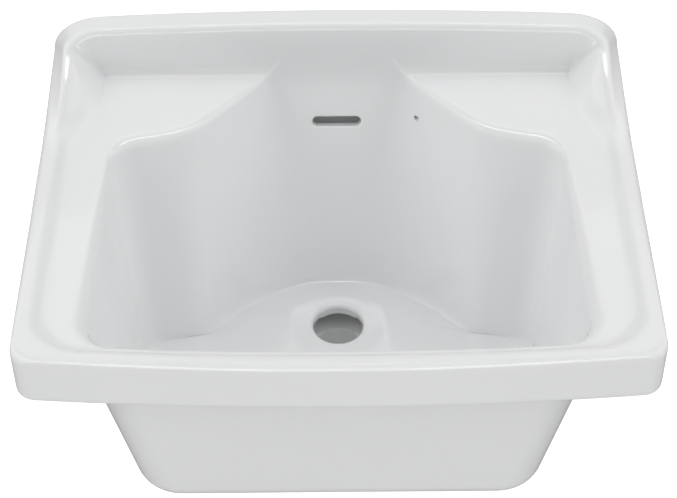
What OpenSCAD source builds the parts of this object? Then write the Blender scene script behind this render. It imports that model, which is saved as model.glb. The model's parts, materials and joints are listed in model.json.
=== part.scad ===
// Wall-hung utility sink in glazed fireclay, with its hidden wall fixings.
// Frame: wall plane at y = 0, room side towards -y, front rim top at z = 0.
// All sizes are in millimetres.

/* [Overall] */
// width over the rim
width = 600; // [580:5:620]
// depth from the wall to the middle of the front rim
depth = 452; // [442:2:460]
// how far the front bows forward of its corners
front_bow = 13; // [8:1:16]
// height of the front and side apron
apron_h = 58; // [56:1:64]
// plan radius of the front corners
front_corner_r = 18; // [15:1:24]
// thickness of the ceramic
wall_t = 12; // [11:0.5:13]

/* [Rim and deck] */
// width of the rounded rim along the front
rim_front_w = 13; // [12:0.5:15]
// width of the rim along the sides
rim_side_w = 14; // [12:1:16]
// how far the deck lies below the rim
deck_drop = 6; // [5:0.5:8]

/* [Upstand] */
// height of the upstand at its ends above the rim
upstand_h = 48; // [44:1:54]
// extra height of the upstand in the middle
upstand_crown = 9; // [5:1:12]
// thickness of the upstand at its foot
upstand_t = 33; // [31:1:36]
// length of the rounded end of the upstand
upstand_end = 54; // [46:1:58]

/* [Bowl] */
// half width of the neck where the bay meets the upstand
neck_half = 69; // [64:1:74]
// half width where the bay opens into the bowl
ledge_half = 153; // [149:1:157]
// distance from the wall to the ledge corner
ledge_y = 126; // [122:1:130]
// half width of the bowl at its mouth
mouth_half = 232; // [229:1:235]
// depth of the floor edge below the rim
floor_z = 230; // [222:1:236]
// half width of the floor
floor_half = 186; // [183:1:189]
// how much wider the floor is at its rear corners, on each side
floor_flare = 22; // [16:1:24]
// distance from the wall to the rear corners of the floor
floor_back = 214; // [211:1:217]
// distance from the front edge back to the floor
floor_front = 40; // [37:1:43]
// fall of the floor to the waste
floor_fall = 4.5; // [3.5:0.5:6]

/* [Waste and overflow] */
// radius of the waste hole
waste_r = 27; // [25:0.5:29]
// distance from the wall to the waste centre
waste_y = 184; // [181:1:187]
// radius of the dished seat round the waste
dish_r = 53; // [50:1:56]
// thickness of the floor over the overflow chamber
seat_t = 12.5; // [11.5:0.5:13.5]
// height of the overflow chamber
chamber_h = 24; // [22:0.5:25]
// radius of the overflow chamber
chamber_r = 37; // [35:0.5:38]
// radius of the boss under the floor
boss_r = 49; // [48:0.5:52]
// thickness of the boss under the overflow chamber
boss_t = 28; // [26:1:30]
// half length of the overflow slot
slot_half = 26; // [22:0.5:27]
// height of the overflow slot
slot_h = 9.5; // [8:0.5:11]
// depth of the overflow slot below the rim
slot_z = 57; // [55:0.5:59]
// radius of the chain stay hole
chain_r = 2.6; // [2:0.1:3]
// distance of the chain stay hole from the middle
chain_x = 85; // [83:1:87]
// depth of the chain stay hole below the rim
chain_z = 42.5; // [40.5:0.5:44.5]

/* [Wall fixings] */
// distance of each fixing from the middle
fix_x = 190; // [180:2:200]
// depth of the fixings below the rim
fix_z = 40; // [39.5:0.25:40.5]
// radius of the holes in the rear wall
fix_hole_r = 8; // [7.5:0.25:8.5]
// radius of the wood thread end of the hanger bolt
bolt_r = 5; // [4.5:0.1:5]
// radius of the machine thread end at its pitch line
thread_r = 4.5; // [4.4:0.05:4.6]
// length of the hanger bolt behind the wall plane
bolt_tail = 72; // [60:2:80]
// height of the nut
nut_h = 8; // [7:0.5:9]
// width of the nut across its flats
nut_af = 17; // [17:0.5:18]
// thickness of the steel washer
washer_t = 2; // [1.5:0.25:2.5]
// radius of the steel washer
washer_r = 12; // [11.5:0.25:12.5]
// radius of the sleeve flange
flange_r = 13; // [12.5:0.25:13]
// thickness of the sleeve flange
flange_t = 3; // [2.5:0.25:3.5]

/* [Hidden] */
// clearances of the sleeve on the bolt, the nut on its thread and the washer
fit = 0.25;
nut_fit = 0.1;
washer_fit = 0.75;

hw = width / 2;
yf = -(depth - front_bow);
// the bow of the front edge begins and is full at these places
bow_start = -235;
bow_full = yf + 14;
deck_z = -deck_drop;
under_z = deck_z - wall_t;
fz = -floor_z;
dz = fz - floor_fall;
chamber_z = dz - seat_t - chamber_h;
boss_z = chamber_z - boss_t;
crown_x = hw - upstand_end;
top_fall = 2;
up_top = upstand_h + upstand_crown;

// ---- small vector helpers ----
function lerp(a, b, t) = a + (b - a) * t;
function ease(a, b, x) =
    let (t = min(1, max(0, (x - a) / (b - a)))) t * t * (3 - 2 * t);
function unit(v) = v / norm(v);
function run(a, b, n, p = 1) = [for (i = [0:n - 1]) lerp(a, b, pow(i / n, p))];

// rounded corner from a to b with its sharp point at p
function bend(a, p, b, n) =
    let (w = sqrt(max(0, (1 - unit(a - p) * unit(b - p)) / 2)))
    [for (i = [0:n]) let (t = i / n, u = 1 - t, d = u * u + 2 * w * u * t + t * t)
        (u * u * a + 2 * w * u * t * p + t * t * b) / d];
function arc(c, n) =
    [for (i = [0:n - 1]) bend(c[0], c[1], c[2], n)[i]];

// corner [start, sharp point, end] cut back by s along both edges
function corner(q, p, r, s) = [p + s * unit(q - p), p, p + s * unit(r - p)];

// ---- half outline of one key ring, back middle to front middle ----
STEPS = [3, 4, 4, 4, 3, 6, 8, 6, 6];
function half_of(c0, cn, cl, cs, cf, c1) = concat(
    run(c0, cn[0], STEPS[0]), arc(cn, STEPS[1]),
    run(cn[2], cl[0], STEPS[2]), arc(cl, STEPS[3]),
    run(cl[2], cs[0], STEPS[4]), arc(cs, STEPS[5]),
    run(cs[2], cf[0], STEPS[6], 1.5), arc(cf, STEPS[7]),
    run(cf[2], c1, STEPS[8]), [c1]);
J_NECK = STEPS[0] + STEPS[1];
J_SIDE = J_NECK + STEPS[2] + STEPS[3] + STEPS[4] + STEPS[5];

// plan outline from four sharp corners at height z
function plan_ring(n, l, s, f, cut, z) =
    let (a = [0, n[1], z], n3 = [n[0], n[1], z], l3 = [l[0], l[1], z],
         s3 = [s[0], s[1], z], f3 = [f[0], f[1], z], b = [0, f[1], z])
    half_of(a, corner(a, n3, l3, cut[0]), corner(n3, l3, s3, cut[1]),
            corner(l3, s3, f3, cut[2]), corner(s3, f3, b, cut[3]), b);

// circle whose points follow the points of another ring
function circle_ring(guide, r, z) =
    let (m = len(guide) - 1)
    [for (j = [0:m])
        let (g = guide[j], a = atan2(g[1] + waste_y, g[0]),
             b = 90 - 180 * j / m, c = (a + b) / 2)
        j == 0 ? [0, r - waste_y, z] : j == m ? [0, -r - waste_y, z]
        : [r * cos(c), r * sin(c) - waste_y, z]];

// front edge bowed forward by the amount k
function bowed(h, k) =
    [for (p = h) let (share = ease(bow_start, bow_full, p[1]))
        [p[0], p[1] - k * (1 - pow(p[0] / hw, 2)) * share, p[2]]];

// outline moved outwards in plan by d, at height z
function grown(h, d, z) =
    let (m = len(h) - 1)
    [for (j = [0:m])
        let (a = h[max(0, j - 1)], b = h[min(m, j + 1)],
             e = j == 0 || j == m ? [1, 0] : unit([b[0] - a[0], b[1] - a[1]]),
             s = j == m ? -1 : 1,
             v = j == 0 ? [0, 1] : j == m ? [0, -1] : [-e[1], e[0]])
        [h[j][0] + d * v[0], h[j][1] + d * v[1], z]];

// lift that lets the bay wall run straight up into the upstand
function neck(j) = 1 - ease(J_NECK - 3, J_NECK + 1, j);
// falling curve from 1 at y = a to 0 at y = b
function fall(y, a, b, p) = pow(1 - min(1, max(0, (a - y) / (a - b))), p);

function crown_z(x) = upstand_h + upstand_crown * (1 - pow(x / hw, 2));

// ---- key rings, from the floor outwards and round underneath ----
bay_y = -119;
bay_curve = [[2, bay_y, fz], [71, bay_y, fz], [131, -188, fz]];
bay_end = [145, -204, fz];
floor_s = [floor_half + floor_flare, -floor_back, fz];
floor_f = [floor_half, yf + floor_front, fz];
floor_mid = [0, yf + floor_front, fz];
floor_ring = bowed(half_of([0, bay_y, fz], bay_curve,
    corner(bay_curve[2], bay_end, floor_s, 14), corner(bay_end, floor_s, floor_f, 20),
    corner(floor_s, floor_f, floor_mid, 27), floor_mid), 5);
dish_ring = circle_ring(floor_ring, dish_r, dz + 1.5);
seat_ring = circle_ring(floor_ring, dish_r - 14, dz);
mouth_plain = bowed(plan_ring([neck_half, -upstand_t - 2], [ledge_half, -ledge_y],
    [mouth_half - 2, -ledge_y - 18], [mouth_half + 6, yf + rim_front_w + 12],
    [9, 24, 26, 38], deck_z - 1), front_bow - 2);
mouth_ring = [for (j = [0:len(mouth_plain) - 1]) let (p = mouth_plain[j])
    [p[0], p[1], p[2] - 7 * neck(j)]];
// places along the wall where the lines from the neck and the ledge corner run up
neck_x = 58;
ledge_x = 164;
foot_plain = bowed(plan_ring([neck_x, -upstand_t], [ledge_x, -upstand_t],
    [hw - rim_side_w - 7, -upstand_t], [hw - rim_side_w - 7, yf + rim_front_w + 5],
    [12, 12, 12, 9], deck_z), front_bow);
// the side rim rises to the upstand from these places, inside and outside
rise_in = -165;
rise_out = -170;
// the edge of the deck bends inwards there, fully so at the heel of the upstand
heel_y = -45;
foot_ring = [for (j = [0:len(foot_plain) - 1])
    let (p = foot_plain[j],
         k = ease(rise_in, heel_y, p[1]) * max(0, p[0] - crown_x))
    [p[0] - k, p[1], p[2] + 26 * neck(j)]];

ramp_x = hw - 18;
ramp_y = -upstand_t - 10;
ramp_z = upstand_h - 12;
top_in_s = [[crown_x + 8, 2 - upstand_t, crown_z(crown_x) - 0.5],
    [ramp_x - 1, 2 - upstand_t, ramp_z + 6], [ramp_x, ramp_y, ramp_z]];
// foot of the rounded end of the upstand, at the back of the side rim
end_y = -4;
end_z = 8;
top_in_raw = half_of([0, 2 - upstand_t, up_top],
    corner([0, 2 - upstand_t, 0], [neck_x, 2 - upstand_t, 0],
           [ledge_x, 2 - upstand_t, 0], 12),
    corner([neck_x, 2 - upstand_t, 0], [ledge_x, 2 - upstand_t, 0],
           [hw, 2 - upstand_t, 0], 12), top_in_s,
    corner([hw - rim_side_w, -100, 0], [hw - rim_side_w, yf + rim_front_w, 0],
           [0, yf + rim_front_w, 0], 10),
    [0, yf + rim_front_w, 0]);
top_out_s = [[crown_x, 0, crown_z(crown_x) - top_fall],
    [hw, 0, upstand_h - top_fall], [hw, end_y, end_z]];
top_out_raw = half_of([0, 0, up_top - top_fall],
    corner([0, 0, 0], [neck_x, 0, 0], [ledge_x, 0, 0], 12),
    corner([neck_x, 0, 0], [ledge_x, 0, 0], [hw, 0, 0], 12), top_out_s,
    corner([hw, -100, 0], [hw, yf, 0], [0, yf, 0], front_corner_r), [0, yf, 0]);
J_END = J_SIDE - STEPS[5];
function topped(h, lower, y0, z0, y1, p) =
    [for (j = [0:len(h) - 1]) let (q = h[j])
        [q[0], q[1], j < J_END ? crown_z(q[0]) - lower
            : j < J_SIDE ? q[2] : z0 * fall(q[1], y0, y1, p)]];
top_in_ring = bowed(topped(top_in_raw, 0, ramp_y, ramp_z, rise_in, 2), front_bow);
top_out_ring = bowed(topped(top_out_raw, top_fall, end_y, end_z, rise_out, 1.6),
    front_bow);
skirt_out_ring = bowed(plan_ring([neck_x, 0], [ledge_x, 0], [hw, 0], [hw, yf],
    [12, 12, 6, front_corner_r], -apron_h), front_bow);
function inner_skirt(z) = bowed(plan_ring([neck_x, -wall_t], [ledge_x, -wall_t],
    [hw - wall_t, -wall_t], [hw - wall_t, yf + wall_t],
    [12, 12, 8, front_corner_r - 10], z), front_bow);
skirt_in_ring = inner_skirt(-apron_h);
roof_out_ring = inner_skirt(under_z);
roof_in_ring = grown(mouth_plain, wall_t, under_z);
base_ring = grown(floor_ring, wall_t, fz - wall_t - 1);
boss_top_ring = circle_ring(floor_ring, boss_r + 3, dz - wall_t - 2);
boss_end_ring = circle_ring(floor_ring, boss_r - 3, boss_z);
cap_ring = circle_ring(floor_ring, boss_r - 9, boss_z);

KEYS = [seat_ring, dish_ring, floor_ring, mouth_ring, foot_ring, top_in_ring,
        top_out_ring, skirt_out_ring, skirt_in_ring, roof_out_ring, roof_in_ring,
        base_ring, boss_top_ring, boss_end_ring, cap_ring];
// rounding radius at each key ring, at the back and at the front
R_BACK = [0, 4, 10, 14, 8, 8, 6, 3, 3, 5, 8, 22, 8, 4, 0];
R_SIDE = [0, 4, 13, 15, 9, 9, 9, 3, 3, 5, 8, 24, 8, 4, 0];
R_STEP = [0, 2, 4, 5, 3, 3, 4, 2, 2, 2, 2, 4, 2, 2, 0];

// points of one lengthwise line across all key rings, with its bends rounded
function line_at(j) =
    let (m = len(KEYS) - 1, b = ease(J_SIDE - 8, J_SIDE + 3, j))
    [for (k = [0:m])
        if (R_STEP[k] == 0) KEYS[k][j]
        else let (p = KEYS[k][j], q = KEYS[k - 1][j], r = KEYS[k + 1][j],
                  u = unit(q - p), v = unit(r - p), c = u * v,
                  rad = lerp(R_BACK[k], R_SIDE[k], b) + (k == 3 ? 60 * neck(j) : 0),
                  s = min(rad * sqrt((1 + c) / max(1e-6, 1 - c)),
                          0.46 * norm(q - p), 0.46 * norm(r - p)))
             each bend(p + s * u, p, p + s * v, R_STEP[k])];

HALF = len(floor_ring);
LINES = [for (j = [0:HALF - 1]) line_at(j)];
ROWS = len(LINES[0]);
AROUND = 2 * (HALF - 1);
function at(i, j) = j < HALF ? LINES[j][i]
    : let (p = LINES[AROUND - j][i]) [-p[0], p[1], p[2]];

module shell() {
    pts = [for (i = [0:ROWS - 1], j = [0:AROUND - 1]) at(i, j)];
    sides = [for (i = [0:ROWS - 2], j = [0:AROUND - 1])
        let (a = i * AROUND + j, b = i * AROUND + (j + 1) % AROUND)
        each (j < HALF - 1
            ? [[a, b + AROUND, b], [a, a + AROUND, b + AROUND]]
            : [[a, a + AROUND, b], [b, a + AROUND, b + AROUND]])];
    top = [for (j = [0:AROUND - 1]) j];
    bottom = [for (j = [0:AROUND - 1]) ROWS * AROUND - 1 - j];
    polyhedron(points = pts, faces = concat([top], sides, [bottom]), convexity = 10);
}

// ---- overflow duct behind the bay wall, drawn in the y-z plane ----
duct_a = [-upstand_t - 2, deck_z - 8];
duct_b = [bay_y, fz];
duct_dir = unit(duct_b - duct_a);
duct_out = [-duct_dir[1], duct_dir[0]];
function duct_at(z, off) =
    let (p = duct_a + off * duct_out, s = (z - p[1]) / duct_dir[1]) p + s * duct_dir;
duct_half = slot_half + 2;
duct_z0 = dz - seat_t;
module lengthwise(half) {
    rotate([90, 0, 90]) translate([0, 0, -half]) linear_extrude(2 * half) children();
}
module duct_rib() {
    lengthwise(duct_half + 9) polygon([duct_at(under_z + 4, 6),
        duct_at(fz - 8, 6), [-waste_y + 20, fz - 8], [-waste_y + 20, chamber_z - 9],
        duct_at(chamber_z - 9, 24), duct_at(chamber_z + 3, 33), duct_at(-44, 33),
        [-6, -34], [-6, under_z + 4]]);
}
module duct_bore() {
    lengthwise(duct_half) polygon([duct_at(-slot_z + 11, wall_t),
        duct_at(duct_z0, wall_t), [-waste_y + 20, duct_z0],
        [-waste_y + 20, chamber_z], duct_at(chamber_z, wall_t + 12),
        duct_at(-slot_z + 6, wall_t + 12)]);
}
slot_tilt = atan2(duct_out[1], duct_out[0]);
module slot_bore() {
    p = duct_at(-slot_z, 0);
    translate([0, p[0], p[1]]) rotate([slot_tilt, 0, 0]) rotate([-90, 0, 0])
        translate([0, 0, -12]) {
            for (sx = [-1, 1]) translate([sx * (slot_half - slot_h / 2), 0, 0])
                cylinder(r = slot_h / 2, h = 12 + wall_t + 5, $fn = 48);
            translate([-slot_half + slot_h / 2, -slot_h / 2, 0])
                cube([2 * slot_half - slot_h, slot_h, 12 + wall_t + 5]);
        }
}

module along_y(x, y0, y1, r, z, fn = 48) {
    translate([x, y0, z]) rotate([-90, 0, 0]) cylinder(r = r, h = y1 - y0, $fn = fn);
}

module basin() {
    color([0.93, 0.94, 0.94]) difference() {
        union() { shell(); duct_rib(); }
        translate([0, -waste_y, boss_z - 5])
            cylinder(r = waste_r, h = dz - boss_z + 10, $fn = 96);
        translate([0, -waste_y, chamber_z])
            cylinder(r = chamber_r, h = chamber_h, $fn = 96);
        duct_bore();
        slot_bore();
        along_y(chain_x, -110, -32, chain_r, -chain_z);
        for (sx = [-1, 1]) along_y(sx * fix_x, -wall_t - 5, 5, fix_hole_r, -fix_z);
    }
}

// ---- one wall fixing, drawn on the plus side and placed at x = sx * fix_x ----
seat_y = -wall_t;
module sleeve(sx) {
    color([0.86, 0.86, 0.82]) difference() {
        union() {
            along_y(sx * fix_x, seat_y - flange_t, seat_y, flange_r, -fix_z);
            along_y(sx * fix_x, seat_y - 1, -1, fix_hole_r - fit, -fix_z);
        }
        along_y(sx * fix_x, seat_y - flange_t - 1, 1, bolt_r + fit, -fix_z);
    }
}
// room side end of the bolt, the shoulder between its threads and its point
bolt_y0 = seat_y - flange_t - washer_t - nut_h - 8;
shoulder_y = 0.5;
point_l = 12;
module bolt(sx) {
    color([0.72, 0.73, 0.75]) {
        along_y(sx * fix_x, bolt_y0 + 1, shoulder_y + 1, thread_r, -fix_z);
        along_y(sx * fix_x, shoulder_y, bolt_tail - point_l, bolt_r, -fix_z);
        translate([sx * fix_x, bolt_tail - point_l, -fix_z]) rotate([-90, 0, 0])
            cylinder(r1 = bolt_r, r2 = 0.6, h = point_l, $fn = 48);
        translate([sx * fix_x, bolt_y0, -fix_z]) rotate([-90, 0, 0])
            cylinder(r1 = thread_r - 1, r2 = thread_r, h = 1, $fn = 48);
    }
}
module washer(sx) {
    y1 = seat_y - flange_t;
    color([0.78, 0.79, 0.80]) difference() {
        along_y(sx * fix_x, y1 - washer_t, y1, washer_r, -fix_z);
        along_y(sx * fix_x, y1 - washer_t - 1, y1 + 1, thread_r + washer_fit, -fix_z);
    }
}
module nut(sx) {
    y1 = seat_y - flange_t - washer_t;
    color([0.70, 0.71, 0.73]) difference() {
        intersection() {
            along_y(sx * fix_x, y1 - nut_h, y1, nut_af / sqrt(3), -fix_z, 6);
            translate([sx * fix_x, y1, -fix_z]) rotate([90, 0, 0])
                cylinder(r1 = nut_af / 2 + nut_h + 0.3, r2 = nut_af / 2 + 0.3,
                         h = nut_h, $fn = 48);
        }
        along_y(sx * fix_x, y1 - nut_h - 1, y1 + 1, thread_r + nut_fit, -fix_z);
    }
}

module sleeve_left() { sleeve(-1); }
module sleeve_right() { sleeve(1); }
module bolt_left() { bolt(-1); }
module bolt_right() { bolt(1); }
module washer_left() { washer(-1); }
module washer_right() { washer(1); }
module nut_left() { nut(-1); }
module nut_right() { nut(1); }

basin();
sleeve_left();
sleeve_right();
bolt_left();
bolt_right();
washer_left();
washer_right();
nut_left();
nut_right();
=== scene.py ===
# %% [markdown]
# # A wall-hung utility sink
# The real object is one piece of white glazed fireclay that hangs on two bolts.
# Its size, its holes and its fixings come from the CAD frame, which is loaded first.
# Everything here is in metres in that frame: the wall is the plane y = 0, the room is
# on the side of -y, and z = 0 is the top of the front rim.

# %% Load the frame
import json
import math

import bpy
import numpy as np
from mathutils import Matrix, Vector


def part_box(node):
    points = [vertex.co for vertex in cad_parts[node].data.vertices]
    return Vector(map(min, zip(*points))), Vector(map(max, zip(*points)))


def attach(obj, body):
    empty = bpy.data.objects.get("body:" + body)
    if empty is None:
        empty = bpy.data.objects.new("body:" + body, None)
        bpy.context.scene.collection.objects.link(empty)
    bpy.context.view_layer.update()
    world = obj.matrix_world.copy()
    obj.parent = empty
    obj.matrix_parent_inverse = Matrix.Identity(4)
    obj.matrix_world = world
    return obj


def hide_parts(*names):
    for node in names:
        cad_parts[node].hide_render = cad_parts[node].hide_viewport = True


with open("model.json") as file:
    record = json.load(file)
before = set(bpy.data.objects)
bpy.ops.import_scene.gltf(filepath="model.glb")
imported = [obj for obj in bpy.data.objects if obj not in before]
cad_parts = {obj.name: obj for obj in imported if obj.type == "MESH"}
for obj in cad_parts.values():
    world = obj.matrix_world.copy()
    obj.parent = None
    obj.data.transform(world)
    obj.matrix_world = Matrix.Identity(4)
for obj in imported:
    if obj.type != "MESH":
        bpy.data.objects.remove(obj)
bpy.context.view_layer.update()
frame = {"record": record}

MM = 0.001
mounts = {m["name"]: m for m in frame["record"]["mounts"]}

# %% [markdown]
# ## The camera
# The photograph looks down into the bowl at 45 degrees from straight in front, with a
# lens of about 97 mm on a 36 mm sensor. The place and the turn were found by matching
# the rim, the apron and the waste hole, so the lines of the sink run as they do there.

# %% Camera
LENS_MM = 97.19
CAMERA_AT = Vector((-3.94, -1530.46, 1237.02)) * MM
PITCH_DOWN = 0.788947
YAW = 0.003555
ROLL = -0.005367


def camera_turn():
    """Camera axes as a matrix: right, up and backwards in its columns."""
    ahead = Vector((math.sin(YAW) * math.cos(PITCH_DOWN),
                    math.cos(YAW) * math.cos(PITCH_DOWN), -math.sin(PITCH_DOWN)))
    level = Vector((math.cos(YAW), -math.sin(YAW), 0))
    above = level.cross(ahead)
    right = level * math.cos(ROLL) + above * math.sin(ROLL)
    up = above * math.cos(ROLL) - level * math.sin(ROLL)
    return Matrix((right, up, -ahead)).transposed()


camera_data = bpy.data.cameras.new("camera")
camera_data.lens = LENS_MM
camera_data.sensor_width = 36
camera = bpy.data.objects.new("camera", camera_data)
camera.matrix_world = Matrix.Translation(CAMERA_AT) @ camera_turn().to_4x4()
bpy.context.scene.collection.objects.link(camera)
bpy.context.scene.camera = camera
print("camera", [round(v, 3) for v in camera.location], "lens", LENS_MM)

# %% [markdown]
# ## The sizes of the sink
# The CAD model is a cage of key rings, one closed outline for each edge of the sink.
# The same rings are drawn again here with four times the points, because a glossy
# white surface shows every facet. These are the sizes that both models share, in
# millimetres. The waste hole and the holes for the fixings are read from the frame.

# %% Shared sizes in millimetres
cad_low, cad_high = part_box("basin")
half_width = cad_high.x / MM
depth = -cad_low.y / MM
front_bow = 13
front_y = -(depth - front_bow)
apron_h, corner_r, wall_t = 58, 18, 12
rim_front, rim_side, deck_drop = 13, 14, 6
upstand_h, upstand_crown, upstand_t, upstand_end = 48, 9, 33, 54
neck_half, ledge_half, ledge_y, mouth_half = 69, 153, 126, 232
floor_z, floor_half, floor_back, floor_front, floor_fall = 230, 186, 214, 40, 4.5
floor_flare = 22
dish_r, seat_t, chamber_h, chamber_r, boss_r, boss_t = 53, 12.5, 24, 37, 49, 28
slot_half, slot_h, slot_z = 26, 9.5, 57
fixing_hole_r = 8

waste_r = mounts["waste_outlet"]["dims"]["r_mm"]
waste_y = -mounts["waste_outlet"]["pos_m"][1] / MM
chain_r = mounts["chain_stay_hole"]["dims"]["r_mm"]
chain_at = Vector(mounts["chain_stay_hole"]["pos_m"]) / MM
fixing_x = mounts["wall_studs"]["dims"]["spacing_x_mm"] / 2
fixing_z = mounts["wall_studs"]["pos_m"][2] / MM
SIDES = {"left": -fixing_x, "right": fixing_x}

deck_z = -deck_drop
under_z = deck_z - wall_t
floor_top = -floor_z
seat_z = floor_top - floor_fall
floor_under = seat_z - seat_t
chamber_z = floor_under - chamber_h
boss_z = chamber_z - boss_t
crown_x = half_width - upstand_end
top_fall = 2
neck_x, ledge_x = 58, 164
rise_in, rise_out, heel_y, end_y, end_z = -165, -170, -45, -4, 8
print("half width", round(half_width, 2), "depth", round(depth, 2), "waste radius", waste_r)

# %% [markdown]
# ## Drawing one ring
# A ring is half an outline from the middle of the back to the middle of the front:
# straight runs joined by four rounded corners. The corners are the neck of the bay,
# the ledge, the side and the front. Every ring has the same count of points in each
# stretch, so the points of two rings can be joined one to one.

# %% Runs, corners and half outlines
FINE = 4
# steps along the back, neck, run, ledge, run, side, run, front and run to the middle
STEPS = [n * FINE for n in (3, 4, 4, 4, 3, 6, 8, 6, 6)]
NECK_AT = sum(STEPS[:2])
SIDE_AT = sum(STEPS[:6])
HALF = sum(STEPS) + 1
SIDE_CROWDING = 1.5


def ease(a, b, x):
    """0 at a and 1 at b, level at both ends."""
    t = np.clip((x - a) / (b - a), 0, 1)
    return t * t * (3 - 2 * t)


def unit(v):
    return v / np.maximum(np.linalg.norm(v, axis=-1, keepdims=True), 1e-9)


def run(a, b, n, power=1.0):
    """n points on the straight way from a to b, without b."""
    t = (np.arange(n) / n)[:, None] ** power
    return np.asarray(a) + (np.asarray(b) - a) * t


def bend(a, p, b, n):
    """n + 1 points of the round corner from a to b whose sharp point is p."""
    a, p, b = (np.asarray(v, float) for v in (a, p, b))
    half = np.sqrt(np.maximum(0, (1 - (unit(a - p) * unit(b - p)).sum(-1)) / 2))[..., None]
    rows = []
    for i in range(n + 1):
        t = i / n
        wa, wp, wb = (1 - t) ** 2, 2 * half * (1 - t) * t, t * t
        rows.append((wa * a + wp * p + wb * b) / (wa + wp + wb))
    return np.array(rows)


def corner(q, p, r, cut):
    """The sharp corner p between q and r, cut back by the same length on both sides."""
    q, p, r = (np.asarray(v, float) for v in (q, p, r))
    return p + cut * unit(q - p), p, p + cut * unit(r - p)


def half_of(back, neck, ledge, side, front, middle):
    """Half an outline from its four rounded corners."""
    bends = [bend(*c, n)[:-1] for c, n in zip((neck, ledge, side, front), STEPS[1::2])]
    starts = (back, neck[2], ledge[2], side[2], front[2])
    ends = (neck[0], ledge[0], side[0], front[0], middle)
    powers = (1, 1, 1, SIDE_CROWDING, 1)
    runs = [run(*args) for args in zip(starts, ends, STEPS[0::2], powers)]
    parts = [runs[0]]
    for turn, straight in zip(bends, runs[1:]):
        parts += [turn, straight]
    return np.vstack(parts + [np.array([middle], float)])


def plan_ring(corners, cuts, z):
    """Outline at height z from the neck, ledge, side and front corners in plan."""
    n, l, s, f = (np.array([x, y, z], float) for x, y in corners)
    back, middle = np.array([0, n[1], z]), np.array([0, f[1], z])
    return half_of(back, corner(back, n, l, cuts[0]), corner(n, l, s, cuts[1]),
                   corner(l, s, f, cuts[2]), corner(s, f, middle, cuts[3]), middle)


# places along a ring, counted in the steps of the CAD cage
place = np.arange(HALF) / FINE
neck_at, side_at = NECK_AT / FINE, SIDE_AT / FINE
ledge_end = side_at - 6
neck_share = 1 - ease(neck_at - 3, neck_at + 1, place)
end_share = (ease(ledge_end - 1, ledge_end + 1, place)
             * (1 - ease(ledge_end + 5, ledge_end + 7, place)))
print("points in half a ring", HALF)

# %% [markdown]
# ## The shapes that rings share
# The front edge of the sink bows forward, so most rings are bowed. Rings round the
# waste are circles, whose points are spread so that they follow the floor outside.
# Rings on the outside of the ware are inner rings moved out by the wall.

# %% Bow, circles and wall thickness
BOW_FROM, BOW_TO = -235, front_y + 14


def bowed(ring, amount):
    """The ring with its front pushed forward, most in the middle."""
    share = ease(BOW_FROM, BOW_TO, ring[:, 1])
    out = ring.copy()
    out[:, 1] -= amount * (1 - (ring[:, 0] / half_width) ** 2) * share
    return out


def circle_ring(guide, r, z):
    """A circle round the waste whose points follow those of the guide ring."""
    own = 90 - 180 * np.arange(HALF) / (HALF - 1)
    seen = np.degrees(np.arctan2(guide[:, 1] + waste_y, guide[:, 0]))
    turn = np.radians((own + seen) / 2)
    turn[0], turn[-1] = math.pi / 2, -math.pi / 2
    return np.column_stack([r * np.cos(turn), r * np.sin(turn) - waste_y,
                            np.full(HALF, float(z))])


def grown(ring, d, z):
    """The ring moved outwards in plan by d, at height z."""
    before = ring[np.maximum(np.arange(HALF) - FINE, 0)]
    after = ring[np.minimum(np.arange(HALF) + FINE, HALF - 1)]
    along = unit((after - before)[:, :2])
    away = np.column_stack([-along[:, 1], along[:, 0]])
    away[0], away[-1] = (0, 1), (0, -1)
    return np.column_stack([ring[:, :2] + d * away, np.full(HALF, float(z))])


def crown_z(x):
    """Height of the upstand's top edge at x."""
    return upstand_h + upstand_crown * (1 - (x / half_width) ** 2)


def topped(ring, lower, y0, z0, y1, power):
    """The ring lifted to the upstand's top, with its ends falling from y0, z0 to y1, 0."""
    out = ring.copy()
    side_start = SIDE_AT - STEPS[5]
    out[:side_start, 2] = crown_z(ring[:side_start, 0]) - lower
    share = 1 - np.clip((y0 - ring[SIDE_AT:, 1]) / (y0 - y1), 0, 1)
    out[SIDE_AT:, 2] = z0 * share ** power
    return out


print("upstand from", round(crown_z(half_width)), "to", round(crown_z(0)), "mm high")


# %% [markdown]
# ## The fifteen key rings and the waste
# They run from the seat of the waste over the floor, up the bowl, over the deck, up
# and over the upstand and the rim, down the apron, and back underneath to the boss.
# Six more circles go up through the waste hole and its overflow chamber, so that the
# last ring meets the first. The surface then closes on itself like a ring doughnut.

# %% Key rings
def point(x, y, z=0.0):
    return np.array([x, y, z], float)


# how far corners are cut back: neck, ledge, side and front
MOUTH_CUTS, FOOT_CUTS = (9, 24, 26, 38), (12, 12, 12, 40)
LEDGE_CUT, SIDE_CUT, FRONT_CUT, PLAIN_CUT, RIM_CUT = 14, 20, 27, 12, 48
FLOOR_BOW = 5
NECK_DROP, NECK_LIFT = 7, 26

bay_y = -119
bay_curve = [point(2, bay_y, floor_top), point(71, bay_y, floor_top),
             point(131, -188, floor_top)]
bay_end = point(145, -204, floor_top)
floor_side = point(floor_half + floor_flare, -floor_back, floor_top)
floor_corner = point(floor_half, front_y + floor_front, floor_top)
floor_middle = point(0, front_y + floor_front, floor_top)
floor_ring = bowed(half_of(
    point(0, bay_y, floor_top), bay_curve,
    corner(bay_curve[2], bay_end, floor_side, LEDGE_CUT),
    corner(bay_end, floor_side, floor_corner, SIDE_CUT),
    corner(floor_side, floor_corner, floor_middle, FRONT_CUT), floor_middle), FLOOR_BOW)

mouth_flat = bowed(plan_ring(
    [(neck_half, -upstand_t - 2), (ledge_half, -ledge_y), (mouth_half - 2, -ledge_y - 18),
     (mouth_half + 6, front_y + rim_front + 12)], MOUTH_CUTS, deck_z - 1), front_bow - 2)
mouth_ring = mouth_flat - np.outer(NECK_DROP * neck_share, (0, 0, 1))

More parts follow.
